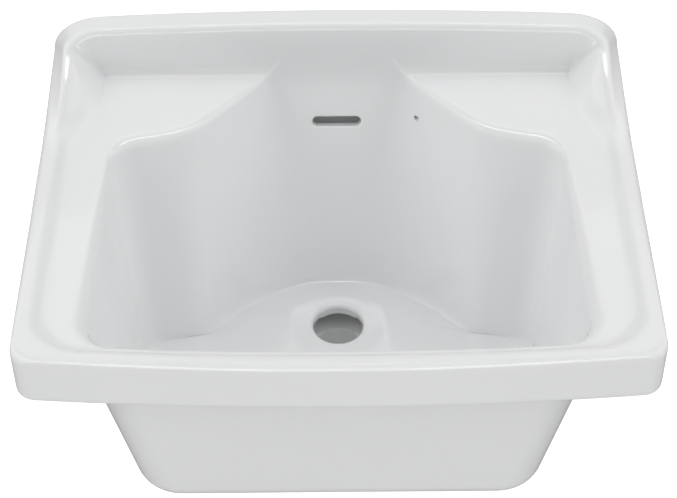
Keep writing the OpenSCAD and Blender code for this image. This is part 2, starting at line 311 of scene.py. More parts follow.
deck_x = half_width - rim_side - 12
foot_ring = bowed(plan_ring(
    [(neck_x, -upstand_t), (ledge_x, -upstand_t), (deck_x, -upstand_t),
     (deck_x, front_y + rim_front + 8)], FOOT_CUTS, deck_z), front_bow)
rear_share = ease(rise_in, heel_y, foot_ring[:, 1])
foot_ring[:, 0] -= rear_share * np.maximum(0, foot_ring[:, 0] - crown_x)
foot_ring[:, 2] += NECK_LIFT * neck_share

ramp_x, ramp_y, ramp_z = half_width - 18, -upstand_t - 10, upstand_h - 12
top_y = 2 - upstand_t
inner_x, inner_y = half_width - rim_side, front_y + rim_front
top_in_raw = half_of(
    point(0, top_y, upstand_h + upstand_crown),
    corner(point(0, top_y), point(neck_x, top_y), point(ledge_x, top_y), PLAIN_CUT),
    corner(point(neck_x, top_y), point(ledge_x, top_y), point(half_width, top_y), PLAIN_CUT),
    [point(crown_x + 8, top_y, crown_z(crown_x) - 0.5), point(ramp_x - 1, top_y, ramp_z + 6),
     point(ramp_x, ramp_y, ramp_z)],
    corner(point(inner_x, -100), point(inner_x, inner_y), point(0, inner_y), RIM_CUT),
    point(0, inner_y))
top_out_raw = half_of(
    point(0, 0, upstand_h + upstand_crown - top_fall),
    corner(point(0, 0), point(neck_x, 0), point(ledge_x, 0), PLAIN_CUT),
    corner(point(neck_x, 0), point(ledge_x, 0), point(half_width, 0), PLAIN_CUT),
    [point(crown_x, 0, crown_z(crown_x) - top_fall),
     point(half_width, 0, upstand_h - top_fall), point(half_width, end_y, end_z)],
    corner(point(half_width, -100), point(half_width, front_y), point(0, front_y), corner_r),
    point(0, front_y))
top_in_ring = bowed(topped(top_in_raw, 0, ramp_y, ramp_z, rise_in, 2), front_bow)
top_out_ring = bowed(topped(top_out_raw, top_fall, end_y, end_z, rise_out, 1.6), front_bow)


def skirt(inset, cut_side, cut_front, z):
    """Outline of the apron and the wall face, inset by the wall where asked."""
    edge = half_width - inset
    return bowed(plan_ring(
        [(neck_x, -inset), (ledge_x, -inset), (edge, -inset), (edge, front_y + inset)],
        (PLAIN_CUT, PLAIN_CUT, cut_side, cut_front), z), front_bow)


def waste_ring(r, z):
    """A circle round the waste, with its points spread like those of the floor."""
    return circle_ring(floor_ring, r, z)


# each row: the ring, its rounding at the back, at the sides, and its count of steps
KEYS = [
    (waste_ring(dish_r - 14, seat_z), 0, 0, 0),
    (waste_ring(dish_r, seat_z + 1.5), 4, 4, 2),
    (floor_ring, 10, 13, 4),
    (mouth_ring, 14, 15, 5),
    (foot_ring, 8, 20, 4),
    (top_in_ring, 8, 9, 3),
    (top_out_ring, 6, 8, 4),
    (skirt(0, 6, corner_r, -apron_h), 3, 3, 2),
    (skirt(wall_t, 8, corner_r - 10, -apron_h), 3, 3, 2),
    (skirt(wall_t, 8, corner_r - 10, under_z), 5, 5, 2),
    (grown(mouth_flat, wall_t, under_z), 8, 8, 2),
    (grown(floor_ring, wall_t, floor_top - wall_t - 1), 22, 24, 4),
    (waste_ring(boss_r + 3, seat_z - wall_t - 2), 8, 8, 2),
    (waste_ring(boss_r - 3, boss_z), 4, 4, 2),
    (waste_ring(boss_r - 9, boss_z), 0, 0, 0),
    (waste_ring(waste_r, boss_z), 1, 1, 1),
    (waste_ring(waste_r, chamber_z), 1, 1, 1),
    (waste_ring(chamber_r, chamber_z), 3, 3, 1),
    (waste_ring(chamber_r, floor_under), 3, 3, 1),
    (waste_ring(waste_r, floor_under), 2, 2, 1),
    (waste_ring(waste_r, seat_z), 3.5, 3.5, 2),
]
print("key rings", len(KEYS))

# %% [markdown]
# ## Joining the rings
# A line runs across all the rings through points of the same number. Each line bends
# at a ring with that ring's rounding, which never takes half of the way to the next
# ring. Straight stretches are cut into pieces of at most a few millimetres, so that
# later steps have points to work with. A subdivision surface would round the edges too,
# but here each edge keeps a radius of its own.

# %% Lines across the rings
LONGEST = 6.0
MOUTH, FOOT = 3, 4
SHOULDER_MORE = 60
REACH_LIMIT = 0.46


def lines_across(keys):
    """Rows of points, one row after another round the section of the ware."""
    rings = np.array([k[0] for k in keys])
    side_share = ease(side_at - 8, side_at + 3, place)
    arcs = []
    for k, (_, back_r, side_r, steps) in enumerate(keys):
        p, q, r = rings[k], rings[k - 1], rings[(k + 1) % len(keys)]
        if steps == 0:
            arcs.append(p[None])
            continue
        radius = back_r + (side_r - back_r) * side_share
        if k == MOUTH:
            radius = radius + SHOULDER_MORE * neck_share
        if k == FOOT:
            radius = radius * (1 - 0.5 * end_share)
        cosine = (unit(q - p) * unit(r - p)).sum(-1)
        reach = radius * np.sqrt((1 + cosine) / np.maximum(1e-6, 1 - cosine))
        for other in (q, r):
            reach = np.minimum(reach, REACH_LIMIT * np.linalg.norm(other - p, axis=1))
        arcs.append(bend(p + reach[:, None] * unit(q - p), p,
                         p + reach[:, None] * unit(r - p), steps * FINE))
    rows = []
    for arc, following in zip(arcs, arcs[1:] + arcs[:1]):
        rows.append(arc)
        gap = following[0] - arc[-1]
        pieces = math.ceil(np.linalg.norm(gap, axis=1).max() / LONGEST)
        shares = np.arange(1, pieces)[:, None, None] / pieces
        rows.append(arc[-1][None] + gap[None] * shares)
    return np.vstack(rows)


half_grid = lines_across(KEYS)
BOWL_ROWS = int(np.argmax(half_grid[:, SIDE_AT, 2]))
mirrored = half_grid[:, -2:0:-1] * np.array([-1, 1, 1])
grid = np.concatenate([half_grid, mirrored], axis=1)
print("grid of", grid.shape[0], "by", grid.shape[1], "points")

# %% [markdown]
# ## What the kiln does to an edge
# Slip casting and a thick glaze round off every edge and fill every corner a little.
# Each row and each line of the grid is relaxed like a stiff thread: points move
# towards their neighbours over a set length, and nothing much longer changes shape.
# The upright corners of the bowl are softer, so they are relaxed over a longer one.

# %% Relax the grid
SOFT_LENGTH = 2.2
CORNER_LENGTH = 9.0
WRAP = 24
SHORTEST = 0.05


def relaxed(points, length):
    """Smooths closed threads along axis 0 over the given lengths, in one implicit step."""
    lengths = np.broadcast_to(length, points.shape[:2])
    length = np.concatenate([lengths[-WRAP:], lengths, lengths[:WRAP]])[1:-1]
    wide = np.concatenate([points[-WRAP:], points, points[:WRAP]])
    gap = np.maximum(np.linalg.norm(np.diff(wide, axis=0), axis=-1), SHORTEST)
    strength = length ** 2 / 2
    before, after = gap[:-1], gap[1:]
    lower = 2 * strength / (before * (before + after))
    upper = 2 * strength / (after * (before + after))
    ratio = np.zeros(gap.shape)
    held = wide.copy()
    for i in range(1, len(wide) - 1):
        lo, up = lower[i - 1], upper[i - 1]
        pivot = 1 + lo + up - lo * ratio[i - 1]
        ratio[i] = up / pivot
        held[i] = (wide[i] + lo[..., None] * held[i - 1]) / pivot[..., None]
    for i in range(len(wide) - 2, 0, -1):
        held[i] += ratio[i][..., None] * held[i + 1]
    return held[WRAP:-WRAP]


soft = relaxed(grid, SOFT_LENGTH)
columns = np.arange(grid.shape[1])
column = np.minimum(columns, grid.shape[1] - columns) / FINE
beside = (ease(side_at - 9, side_at - 6, column)
          * (1 - ease(side_at + 14, side_at + 17, column)))
row_z = grid[:, SIDE_AT, 2]
in_bowl = (np.arange(len(grid)) < BOWL_ROWS) * (1 - ease(deck_z - 40, deck_z - 12, row_z))
along_ring = SOFT_LENGTH + (CORNER_LENGTH - SOFT_LENGTH) * np.outer(beside, in_bowl)
soft = relaxed(soft.swapaxes(0, 1), along_ring).swapaxes(0, 1)
print("largest move", round(float(np.linalg.norm(soft - grid, axis=-1).max()), 2), "mm")


# %% [markdown]
# ## From points to a mesh
# The grid closes on itself in both directions, so every face has four neighbours and
# the mesh has no open edge. A bar or a tool is a stack of loops instead, closed at its
# two ends. Both are made from lists of points and faces, which keeps every size exact.

# %% Make a mesh from points
def new_piece(name, verts, faces):
    """A Blender object from points in millimetres."""
    mesh = bpy.data.meshes.new(name)
    mesh.from_pydata([tuple(v) for v in np.asarray(verts) * MM], [], faces)
    mesh.validate()
    mesh.shade_smooth()
    piece = bpy.data.objects.new(name, mesh)
    bpy.context.scene.collection.objects.link(piece)
    return piece


def closed_grid(name, points):
    """A mesh from rows of points that close in both directions."""
    rows, around = points.shape[:2]
    i, j = np.meshgrid(np.arange(rows), np.arange(around), indexing="ij")
    i2, j2 = (i + 1) % rows, (j + 1) % around
    quads = np.stack([i * around + j, i * around + j2, i2 * around + j2, i2 * around + j], -1)
    return new_piece(name, points.reshape(-1, 3), quads.reshape(-1, 4).tolist())


def stack_faces(rows, around):
    """Faces of a solid that is a stack of loops, with both ends closed."""
    sides = [(k * around + i, k * around + (i + 1) % around,
              (k + 1) * around + (i + 1) % around, (k + 1) * around + i)
             for k in range(rows - 1) for i in range(around)]
    ends = [tuple(range(around))[::-1], tuple(range((rows - 1) * around, rows * around))]
    return ends + sides


ware = closed_grid("sink_body", soft)
print("faces", len(ware.data.polygons))

# %% [markdown]
# ## The overflow duct
# Behind the bay wall the caster leaves a flat duct. Water enters it at the slot, runs
# down behind the wall and falls into the chamber round the waste. Outside it shows as
# a low rib. The rib is joined to the ware and the duct is cut out of it. All of it is
# drawn in the y-z plane along the slope of the bay wall, then made as wide as needed.

# %% Duct outline
duct_start = np.array([-upstand_t - 2, deck_z - 8], float)
duct_along = unit(np.array([bay_y, floor_top], float) - duct_start)
duct_away = np.array([-duct_along[1], duct_along[0]])
duct_half = slot_half + 2
duct_depth, rib_wall = 12, 9
duct_back = wall_t + duct_depth
duct_end = -waste_y + 20
rib_top, rib_heel = -44, -34


def duct_at(z, off):
    """Point at height z on the line that lies off behind the face of the bay wall."""
    p = duct_start + off * duct_away
    return p + (z - p[1]) / duct_along[1] * duct_along


def prism(name, outline, half, round_off=0.0):
    """A bar with that y-z outline, from -half to half in x, with rounded long edges."""
    verts = [(x, y, z) for x in (-half, half) for y, z in outline]
    piece = new_piece(name, verts, stack_faces(2, len(outline)))
    if round_off:
        soften = piece.modifiers.new("soften", "BEVEL")
        soften.width = round_off * MM
        soften.segments = 4
        soften.limit_method = "NONE"
    return piece


rib = prism("duct_rib", [
    duct_at(under_z + 4, wall_t / 2), duct_at(floor_top - 8, wall_t / 2),
    (duct_end, floor_top - 8), (duct_end, chamber_z - rib_wall),
    duct_at(chamber_z - rib_wall, duct_back), duct_at(chamber_z + 3, duct_back + rib_wall),
    duct_at(rib_top, duct_back + rib_wall), (-wall_t / 2, rib_heel),
    (-wall_t / 2, under_z + 4)], duct_half + rib_wall, 3.0)
duct = prism("duct_bore", [
    duct_at(-slot_z + 11, wall_t), duct_at(floor_under, wall_t), (duct_end, floor_under),
    (duct_end, chamber_z), duct_at(chamber_z, duct_back), duct_at(-slot_z + 6, duct_back)],
    duct_half, 2.0)
print("duct", 2 * duct_half, "mm wide")

# %% [markdown]
# ## Tools for the holes
# A hole in clay has a soft lip, because it is cut while the clay is wet and the glaze
# runs over the edge. Each tool is a stack of loops: straight inside the wall, and
# opening out like a trumpet where it meets the face. Cutting with that shape leaves
# the lip. The last loop leans a little away from the face, so that the cut is clean.
# Two round tools clear the rib out of the waste hole and the chamber again.

# %% Trumpet-shaped tools
LIP_STEPS = 9


def stadium(half, r, n):
    """Loop of points round a slot with round ends."""
    turn = np.linspace(-math.pi / 2, math.pi / 2, n)
    right = np.column_stack([half - r + r * np.cos(turn), r * np.sin(turn)])
    return np.vstack([right, -right])


def trumpet(name, half, r, depth_in, lip, origin, out, steepest=76, past=4.0, n=25):
    """A tool that opens out by lip at origin and goes depth_in into the wall."""
    out = unit(np.asarray(out, float))
    side = unit(np.array([1.0, 0, 0]) - out * out[0])
    up = np.cross(out, side)
    lean = np.radians(np.linspace(0, steepest, LIP_STEPS))
    depths = [-depth_in] + list(-lip + lip * np.sin(lean)) + [past]
    grows = [0.0] + list(lip * (1 - np.cos(lean)))
    grows.append(grows[-1] + (depths[-1] - depths[-2]) * math.tan(lean[-1]))
    verts = []
    for d, g in zip(depths, grows):
        loop = stadium(half + g, r + g, n)
        verts += list(np.asarray(origin) + loop[:, :1] * side + loop[:, 1:] * up + d * out)
    return new_piece(name, verts, stack_faces(len(depths), 2 * n))


def drill(name, r, low, high, n=96):
    """A round tool on the axis of the waste, from low to high in z."""
    turn = 2 * math.pi * np.arange(n) / n
    loops = [np.column_stack([r * np.cos(turn), r * np.sin(turn) - waste_y, np.full(n, z)])
             for z in (low, high)]
    return new_piece(name, np.vstack(loops), stack_faces(2, n))


DRILL_PLAY = 0.05
SLOT_LIP, FIXING_LIP, CHAIN_LIP = 2.2, 0.8, 1.2
SLOT_LOWER, SLOT_TALLER = 1, 0.8
waste_tool = drill("waste_tool", waste_r - DRILL_PLAY, boss_z + 3, seat_z - 2)
chamber_tool = drill("chamber_tool", chamber_r - DRILL_PLAY, chamber_z + DRILL_PLAY,
                     floor_under - DRILL_PLAY)
slot_face = duct_at(-slot_z - SLOT_LOWER, 0)
slot_tool = trumpet("slot_tool", slot_half, slot_h / 2 + SLOT_TALLER, wall_t + 5, SLOT_LIP,
                    (0, *slot_face), (0, *-duct_away))
fixing_tools = [trumpet(f"fixing_tool_{side}", fixing_hole_r, fixing_hole_r, wall_t + 4,
                        FIXING_LIP, (x, 0, fixing_z), (0, 1, 0))
                for side, x in SIDES.items()]
print("tools", 3 + len(fixing_tools))


# %% [markdown]
# ## The hole for the chain stay
# It goes through the curved shoulder of the bay, square to the wall plane, so the
# face has to be found first: the point of the grid that is nearest to the hole's axis
# on the bowl side gives the place and the slope of the face there.

# %% Chain hole
def face_near(x, z, y_range):
    """Point and outward slope of the grid where the line along y at x, z meets it."""
    flat = soft.reshape(-1, 3)
    miss = (flat[:, 0] - x) ** 2 + (flat[:, 2] - z) ** 2
    miss[(flat[:, 1] < y_range[0]) | (flat[:, 1] > y_range[1])] = 1e9
    i, j = divmod(int(miss.argmin()), soft.shape[1])
    across = soft[(i + 1) % len(soft), j] - soft[i - 1, j]
    along = soft[i, (j + 1) % soft.shape[1]] - soft[i, j - 1]
    return soft[i, j], unit(np.cross(along, across))


BAY_SHOULDER = (-100, -60)
chain_face, chain_normal = face_near(chain_at.x, chain_at.z, BAY_SHOULDER)
if chain_normal[1] > 0:
    chain_normal = -chain_normal
chain_tool = trumpet("chain_tool", chain_r, chain_r, 34, 0.4,
                     (chain_at.x, chain_face[1] - 2, chain_at.z), (0, -1, 0),
                     steepest=0, past=12)
chain_lip = trumpet("chain_lip", chain_r, chain_r, 3, CHAIN_LIP,
                    (chain_at.x, chain_face[1], chain_at.z), chain_normal,
                    steepest=50, past=1.5)
print("chain hole at", chain_face.round(1), "face leans", chain_normal.round(2))

# %% [markdown]
# ## Cutting the ware
# The rib is joined to the ware first, and then each tool is cut from it in turn. The
# holes could be built into the grid, but a Boolean leaves its rows regular, and the
# manifold solver keeps the mesh closed. The soft edges stay smooth, and only an edge of
# more than 38 degrees is drawn sharp.

# %% Cut the ware
SHARP_EDGE = 38


def cut(piece, tool, operation="DIFFERENCE"):
    """Joins or cuts the tool and applies the result."""
    step = piece.modifiers.new(tool.name, "BOOLEAN")
    step.operation = operation
    step.solver = "MANIFOLD"
    step.object = tool
    graph = bpy.context.evaluated_depsgraph_get()
    mesh = bpy.data.meshes.new_from_object(piece.evaluated_get(graph))
    piece.modifiers.clear()
    piece.data = mesh
    bpy.data.objects.remove(tool)


cut(ware, rib, "UNION")
for tool in (waste_tool, chamber_tool, duct, slot_tool, *fixing_tools, chain_tool, chain_lip):
    cut(ware, tool)
ware.data.name = "sink_body"
ware.data.shade_smooth()
ware.data.set_sharp_from_angle(angle=math.radians(SHARP_EDGE))
print("faces after cutting", len(ware.data.polygons))

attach(ware, "root")
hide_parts("basin")

# %% [markdown]
# ## The hanger bolts
# Each bolt has a wood thread that turns into a wall plug, and a machine thread on the
# room side for the nut. A bump texture could stand for the thread, but the outline of
# the bolt would stay straight. A thread is one ridge wound round a core, so it is made
# as a grid again: the radius at each point depends on how far it is along the pitch.

# %% Threaded bolts
MACHINE_PITCH, MACHINE_CORE, MACHINE_CREST = 1.5, 4.1, 4.9
WOOD_PITCH, WOOD_CORE, WOOD_CREST, WOOD_POINT = 4.5, 3.5, 5.0, 12
MACHINE_SHARP, WOOD_SHARP = 1, 2.2
END_R, SHANK_R, TIP_CORE, TIP_CREST = 3.6, 4.45, 0.4, 0.6
SHOULDER = (-2, 4)
MACHINE_THREAD = ((MACHINE_CORE,) * 2, (MACHINE_CREST,) * 2, MACHINE_PITCH, MACHINE_SHARP)
WOOD_THREAD = ((WOOD_CORE,) * 2, (WOOD_CREST,) * 2, WOOD_PITCH, WOOD_SHARP)
WOOD_END = ((WOOD_CORE, TIP_CORE), (WOOD_CREST, TIP_CREST), WOOD_PITCH, WOOD_SHARP)


def ridge_at(y, start, pitch, share_of_turn, sharpness):
    """Height of a thread's ridge from 0 to 1 at y, for points round the bolt."""
    phase = ((y - start) / pitch - share_of_turn) % 1
    return np.clip(1 - np.abs(2 * phase - 1) * sharpness, 0, 1)


def loop_at(x, y, radii):
    """Points round the axis of a fixing, one for each radius."""
    turn = 2 * math.pi * np.arange(len(radii)) / len(radii)
    return np.column_stack([x + radii * np.cos(turn), np.full(len(radii), float(y)),
                            fixing_z + radii * np.sin(turn)])


def threaded(name, x, stretches, around=36, per_pitch=14):
    """A bolt along y at x. Each stretch has y0, y1, core, crest, pitch and sharpness."""
    loops = []
    shares = np.arange(around) / around
    for y0, y1, core, crest, pitch, sharp in stretches:
        count = max(2, round((y1 - y0) / pitch * per_pitch)) if pitch else 2
        for y in np.linspace(y0, y1, count):
            t = (y - y0) / (y1 - y0)
            inner, outer = (np.interp(t, (0, 1), pair) for pair in (core, crest))
            ridge = ridge_at(y, y0, pitch, shares, sharp) if pitch else np.zeros(around)
            loops.append(loop_at(x, y, inner + (outer - inner) * ridge))
    rows = len(loops)
    faces = [(k * around + i, (k + 1) * around + i, (k + 1) * around + (i + 1) % around,
              k * around + (i + 1) % around) for k in range(rows - 1) for i in range(around)]
    faces += [tuple(range(around)), tuple(range((rows - 1) * around, rows * around))[::-1]]
    return new_piece(name, np.vstack(loops), faces)


def finished(piece, node, sharp_angle=30):
    """The piece takes the place of a CAD node on the one body of the part."""
    piece.data.set_sharp_from_angle(angle=math.radians(sharp_angle))
    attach(piece, "root")
    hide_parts(node)
    return piece


thread_start = {}
bolts, nuts, washers, sleeves = [], [], [], []
for side, x in SIDES.items():
    low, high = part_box(f"bolt_{side}")
    front, back = low.y / MM, high.y / MM
    thread_start[side] = front + 1
    bolt = threaded(f"hanger_bolt_{side}", x, [
        (front, front + 1, (END_R, MACHINE_CORE), (END_R, MACHINE_CREST), 0, 1),
        (front + 1, SHOULDER[0], *MACHINE_THREAD),
        (*SHOULDER, (SHANK_R, SHANK_R), (SHANK_R, SHANK_R), 0, 1),
        (SHOULDER[1], back - WOOD_POINT, *WOOD_THREAD),
        (back - WOOD_POINT, back, *WOOD_END)])
    bolts.append(finished(bolt, f"bolt_{side}"))
print("bolts", [bolt.name for bolt in bolts])

# %% [markdown]
# ## Nuts, washers and sleeves
# A nut is a hexagon whose corners are turned off by a cone on its outer face, and its
# thread follows the ridge of the bolt with a little play. The washer and the nylon
# sleeve are turned from an outline with soft corners. The sleeve keeps the steel off
# the clay, and its flange spreads the load of the washer.

# %% Nuts and turned pieces
CHAMFER, CONE_SLOPE, NUT_FOOT = 1.2, 1.7, 0.25
THREAD_PLAY, NUT_MOUTH_R = 0.12, 5.4
CHAMFER_ROWS, THREAD_ROWS, CORNER_STEPS = 9, 56, 4
BORE_R = 5.25
COLLAR_R = fixing_hole_r - 0.25


def nut(name, x, y0, y1, start, across_flats, around=72):
    """A hexagon nut along y whose chamfered face looks at the room."""
    shares = np.arange(around) / around
    turn = 360 * shares
    flats = across_flats / 2 / np.cos(np.radians(turn % 60 - 30))
    loops = []
    for y in np.concatenate([y0 + np.linspace(0, CHAMFER, CHAMFER_ROWS), [y1 - NUT_FOOT, y1]]):
        cone = across_flats / 2 + 0.1 + CONE_SLOPE * (y - y0)
        foot = across_flats / 2 + 0.9 + CONE_SLOPE * (y1 - y)
        loops.append(loop_at(x, y, np.minimum(flats, min(cone, foot))))
    for y in np.linspace(y1, y0, THREAD_ROWS):
        ridge = ridge_at(y, start, MACHINE_PITCH, shares, MACHINE_SHARP)
        thread = MACHINE_CORE + (MACHINE_CREST - MACHINE_CORE) * ridge + THREAD_PLAY
        loops.append(loop_at(x, y, np.maximum(thread, NUT_MOUTH_R - min(y - y0, y1 - y))))
    return closed_grid(name, np.array(loops))


def turned(name, x, outline, cuts, around=72):
    """A ring turned from a closed outline of y and radius, with its corners rounded."""
    ends = [np.array(v, float) for v in outline]
    loops = []
    for i, cut_back in enumerate(cuts):
        q, p, r = ends[i - 1], ends[i], ends[(i + 1) % len(ends)]
        for y, radius in bend(*corner(q, p, r, cut_back), CORNER_STEPS):
            loops.append(loop_at(x, y, np.full(around, radius)))
    return closed_grid(name, np.array(loops))


for side, x in SIDES.items():
    low, high = (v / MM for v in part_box(f"nut_{side}"))
    made = nut(f"nut_m10_{side}", x, low.y, high.y, thread_start[side], high.z - low.z)
    nuts.append(finished(made, f"nut_{side}", 25))
    low, high = (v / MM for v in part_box(f"washer_{side}"))
    edge = (high.x - low.x) / 2
    made = turned(f"plain_washer_{side}", x, [
        (high.y, BORE_R), (high.y, edge), (low.y, edge), (low.y, BORE_R)],
        (0.15, 0.2, 0.5, 0.25))
    washers.append(finished(made, f"washer_{side}"))
    low, high = (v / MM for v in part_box(f"sleeve_{side}"))
    flange = (high.x - low.x) / 2
    made = turned(f"nylon_sleeve_{side}", x, [
        (high.y, BORE_R), (high.y, COLLAR_R), (-wall_t, COLLAR_R), (-wall_t, flange),
        (low.y, flange), (low.y, BORE_R)], (0.3, 1.0, 0.2, 0.3, 0.9, 0.3))
    sleeves.append(finished(made, f"sleeve_{side}"))
print("fixings", len(bolts + nuts + washers + sleeves))

# %% [markdown]
# ## A studio for white ware
# White glaze shows its form by what it mirrors. Low light from the front draws the
# outer edges, a narrow strip overhead draws the inner ones, and a dark ceiling between
# them draws the band along the top of each rim. The floor and the backdrop are one
# curved sheet of paper far below the sink, so that its shadow is soft.

# %% Floor and backdrop
FLOOR_AT = -0.62
BACK_AT = 2.6
SWEEP_R = 1.0
BACK_H = 3.4
PAPER_HALF = 6.0


def sheet_of_paper():
    """A wide floor that curves up into a backdrop."""
    profile = [(-PAPER_HALF, FLOOR_AT)]
    for turn in np.linspace(0, math.pi / 2, 17):
        profile.append((BACK_AT - SWEEP_R + SWEEP_R * math.sin(turn),
                        FLOOR_AT + SWEEP_R - SWEEP_R * math.cos(turn)))
    profile.append((BACK_AT, FLOOR_AT + BACK_H))
    verts = [(x, y, z) for x in (-PAPER_HALF, PAPER_HALF) for y, z in profile]
    n = len(profile)
    faces = [(i, n + i, n + i + 1, i + 1) for i in range(n - 1)]
    mesh = bpy.data.meshes.new("backdrop")
    mesh.from_pydata(verts, [], faces)
    mesh.shade_smooth()
    sheet = bpy.data.objects.new("backdrop", mesh)
    bpy.context.scene.collection.objects.link(sheet)
    return sheet


backdrop = sheet_of_paper()
print("paper behind the sink at", BACK_AT, "m, and below it at", FLOOR_AT, "m")

# %% [markdown]
# ## Lights
# Each softbox lies on a sphere round the sink and is given by the way it is seen from
# there: its compass angle from the front, its lowest and highest angle over the
# horizon, and how far it spreads to each side. Its glow is its brightness in a mirror.
# The bright table in front lights the apron and not the upstand, which lies behind the
# rim. The two strips are only mirrored: the one overhead draws the thin line in each
# rounded corner, and the one in front draws the outer edges of the rim and the upstand.

# %% Softboxes
MIDDLE = Vector((0, -0.25, -0.1))
REACH = 2.3
GLOW = {"table": 2.5, "rear_low": 0.5, "rear_high": 0.45, "left_side": 1.25,
        "right_side": 1.15, "over_strip": 6.5, "front_strip": 6.0}


def softbox(name, compass, low, high, spread, mirrored_only=False, reach=REACH):
    """A rectangular light that fills the given window of directions."""
    turn, rise = math.radians(compass), math.radians((low + high) / 2)
    way = Vector((math.sin(turn) * math.cos(rise), -math.cos(turn) * math.cos(rise),
                  math.sin(rise)))
    data = bpy.data.lights.new(name, "AREA")
    data.shape = "RECTANGLE"
    data.size = 2 * reach * math.tan(math.radians(spread))
    data.size_y = 2 * reach * math.tan(math.radians(high - low) / 2)
    data.energy = GLOW[name] * math.pi * data.size * data.size_y
    light = bpy.data.objects.new(name, data)
    light.location = MIDDLE + reach * way
    light.rotation_euler = (-way).to_track_quat("-Z", "Y").to_euler()
    light.visible_camera = False
    light.visible_diffuse = not mirrored_only
    bpy.context.scene.collection.objects.link(light)


softbox("table", 0, -13, 2, 42, reach=1.2)
softbox("rear_low", 180, 3, 33, 42)
softbox("rear_high", 180, 36, 58, 42)
softbox("left_side", -90, 14, 54, 28)
softbox("right_side", 90, 14, 54, 28)
softbox("over_strip", 180, 79, 87, 30, mirrored_only=True)
softbox("front_strip", 0, -1, 6, 38, mirrored_only=True)
print("softboxes", len(GLOW))

# %% [markdown]
# The world fills in the rest, and it depends only on the direction. What the glaze
# mirrors is a bright sky behind the sink, and from there a dark ceiling that goes over
# the camera and down to the front. What lights the sink comes mostly from above. The
# angle runs from the horizon behind, over the top, to the horizon in front.

# %% World
SKY_REAR, SKY_TOP, SKY_FRONT, SKY_EDGES = 0.9, 0.1, 0.1, (50, 60, 140, 156)
FILL_REAR, FILL_TOP, FILL_FRONT, FILL_EDGES = 0.1, 0.8, 0.49, (55, 75, 105, 125)

world = bpy.data.worlds.new("studio")
bpy.context.scene.world = world
world.use_nodes = True
tree = world.node_tree
tree.nodes.clear()


def wire(tree, kind, values=None, **props):
    """A new node with its settings, and its inputs set or linked by name or number."""
    made = tree.nodes.new(kind)
    for key, value in props.items():
        setattr(made, key, value)
    for key, value in (values or {}).items():
        if isinstance(value, bpy.types.NodeSocket):
            tree.links.new(value, made.inputs[key])
        else:
            made.inputs[key].default_value = value
    return made


def sky_strength(tree, angle, rear, top, front, edges):
    """Brightness that goes smoothly from rear over top to front, at the edges given."""
    parts = []
    for (start, end), low, high in ((edges[:2], rear, top), (edges[2:], 0, front - top)):
        parts.append(wire(tree, "ShaderNodeMapRange", {
            0: angle, 1: math.radians(start), 2: math.radians(end), 3: low, 4: high},
            interpolation_type="SMOOTHSTEP").outputs[0])
    return wire(tree, "ShaderNodeMath", {0: parts[0], 1: parts[1]}, operation="ADD").outputs[0]


ray = wire(tree, "ShaderNodeLightPath")
way = wire(tree, "ShaderNodeTexCoord").outputs["Generated"]
axes = wire(tree, "ShaderNodeSeparateXYZ", {0: way})
height = wire(tree, "ShaderNodeMath", {0: axes.outputs["Z"]}, operation="ABSOLUTE").outputs[0]
over = wire(tree, "ShaderNodeMath", {0: height, 1: axes.outputs["Y"]},
            operation="ARCTAN2").outputs[0]
mirrored_sky = wire(tree, "ShaderNodeBackground", {
    1: sky_strength(tree, over, SKY_REAR, SKY_TOP, SKY_FRONT, SKY_EDGES)})
plain_sky = wire(tree, "ShaderNodeBackground", {
    1: sky_strength(tree, over, FILL_REAR, FILL_TOP, FILL_FRONT, FILL_EDGES)})
white_sky = wire(tree, "ShaderNodeBackground", {1: 1.0})
for sky in (mirrored_sky, plain_sky, white_sky):
    sky.inputs[0].default_value = (1, 1, 1, 1)
clear_rays = wire(tree, "ShaderNodeMath", {0: ray.outputs["Is Glossy Ray"],
                                           1: ray.outputs["Is Transmission Ray"]},
                  operation="MAXIMUM")
seen = wire(tree, "ShaderNodeMixShader", {0: clear_rays.outputs[0], 1: plain_sky.outputs[0],
                                          2: mirrored_sky.outputs[0]})
whole = wire(tree, "ShaderNodeMixShader", {0: ray.outputs["Is Camera Ray"],
                                           1: seen.outputs[0], 2: white_sky.outputs[0]})
wire(tree, "ShaderNodeOutputWorld", {0: whole.outputs[0]})
bpy.context.scene.view_settings.view_transform = "Standard"
print("world", world.name, "with", len(tree.nodes), "nodes")

# %% [markdown]
# ## Effects that the finishes share
# Each effect is a node group with its own inputs and outputs, so that one idea is
# written once. Tone drift is the slow change of colour over a surface, uneven gloss
# is the same for its sheen, grain is the height of fine bumps, and the mask finds the
# face that lies against the wall.

# %% Shared node groups
NOISE_LOW, NOISE_HIGH = 0.3, 0.7
WALL_EDGE, WALL_WOBBLE = 0.0012, 0.0004
FLOAT, COLOR = "NodeSocketFloat", "NodeSocketColor"


def effect(name, inputs, outputs):
    """An empty shader group with the named sockets, and its inputs to wire from."""
    group = bpy.data.node_groups.new(name, "ShaderNodeTree")
    for label, kind, value in inputs:
        made = group.interface.new_socket(label, in_out="INPUT", socket_type=kind)
        made.default_value = value
    for label, kind in outputs:
        group.interface.new_socket(label, in_out="OUTPUT", socket_type=kind)
    return group, wire(group, "NodeGroupInput").outputs


def noise(tree, scale, detail=2.0):
    """Noise in the object's own space, about 0.5 on average."""
    place = wire(tree, "ShaderNodeTexCoord").outputs["Object"]
    return wire(tree, "ShaderNodeTexNoise", {"Vector": place, "Scale": scale,
                                             "Detail": detail}).outputs[0]


def between(tree, value, low, high):
    """The noise value spread from low to high."""
    return wire(tree, "ShaderNodeMapRange", {
        0: value, 1: NOISE_LOW, 2: NOISE_HIGH, 3: low, 4: high},
        interpolation_type="SMOOTHSTEP").outputs[0]


def maths(tree, operation, *values):
    return wire(tree, "ShaderNodeMath", dict(enumerate(values)), operation=operation).outputs[0]


